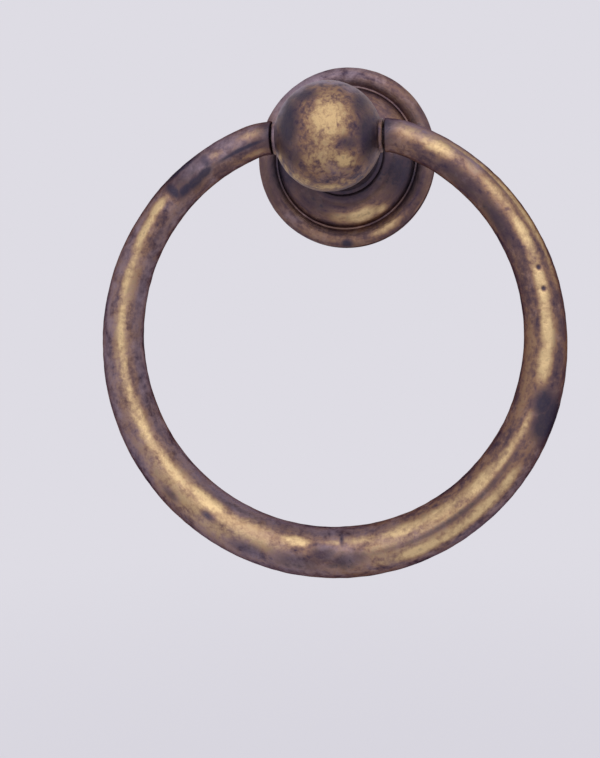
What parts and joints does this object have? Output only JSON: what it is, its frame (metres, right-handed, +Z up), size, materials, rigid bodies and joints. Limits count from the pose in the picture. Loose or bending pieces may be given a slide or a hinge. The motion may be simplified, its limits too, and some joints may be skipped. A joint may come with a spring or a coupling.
{
  "type": "ring pull handle",
  "caption": "Ring pull for a drawer or cabinet door: a graduated cast ring swings in a ball post that stands on a turned rosette, held by a shank and nut.",
  "frame": {"origin": "middle of the rosette's back face, on the axis of the shank", "axes": "+Y into the drawer front along the shank, -Y towards the user, +Z up, +X to the right seen from the front"},
  "size_m": [0.0652, 0.0545, 0.0755],
  "materials": {
    "rosette_brass": "turned, aged dark brown with worn high spots",
    "post_brass": "turned, aged dark brown with a worn front",
    "ring_brass": "cast, aged dark brown with rubbed golden bands and small pits",
    "fixing_brass": "turned, dull"
  },
  "bodies": {
    "fixed": {"rosette": "rosette_brass", "ball_post": "post_brass", "washer": "fixing_brass", "nut": "fixing_brass"},
    "ring": {"ring": "ring_brass"}
  },
  "joints": [
    {"name": "ring_swing", "type": "hinge", "parent": "fixed", "child": "ring", "pos_m": [0, -0.021, 0], "axis": [-1, 0, 0], "range_deg": [-17, 197]}
  ]
}
